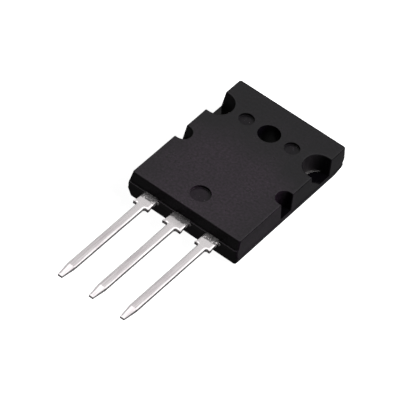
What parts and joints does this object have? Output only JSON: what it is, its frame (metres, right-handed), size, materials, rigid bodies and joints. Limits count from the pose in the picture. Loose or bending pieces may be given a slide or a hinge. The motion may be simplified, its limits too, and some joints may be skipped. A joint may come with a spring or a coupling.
{
  "type": "power transistor",
  "caption": "Through-hole power transistor: flat drafted plastic body with a screw hole, side notches, an exposed metal heat spreader and a row of straight tin-plated leads.",
  "frame": {"origin": "axis of the screw hole where it meets the back face of the body and heat spreader", "axes": "+Z out of the back face toward the top face, -Y the way the leads run, +X from the base lead toward the emitter lead"},
  "size_m": [0.0198, 0.0463, 0.005],
  "materials": {
    "mould_compound": "matt black epoxy moulding compound, slightly rough from the mould",
    "plated_copper": "nickel-plated copper, satin, faint rolling lines",
    "tin_plating": "satin tin plating over copper, lightly streaked along the leads",
    "silicon": "polished dark grey silicon with an aluminium top layer",
    "solder": "dull grey solder",
    "aluminium_wire": "bright drawn aluminium"
  },
  "bodies": {
    "root": {"mould_body": "mould_compound", "heat_spreader": "plated_copper", "base_lead": "tin_plating", "collector_lead": "tin_plating", "emitter_lead": "tin_plating", "silicon_chip": "silicon", "chip_solder": "solder", "base_wire": "aluminium_wire", "emitter_wire_left": "aluminium_wire", "emitter_wire_right": "aluminium_wire"}
  },
  "joints": []
}
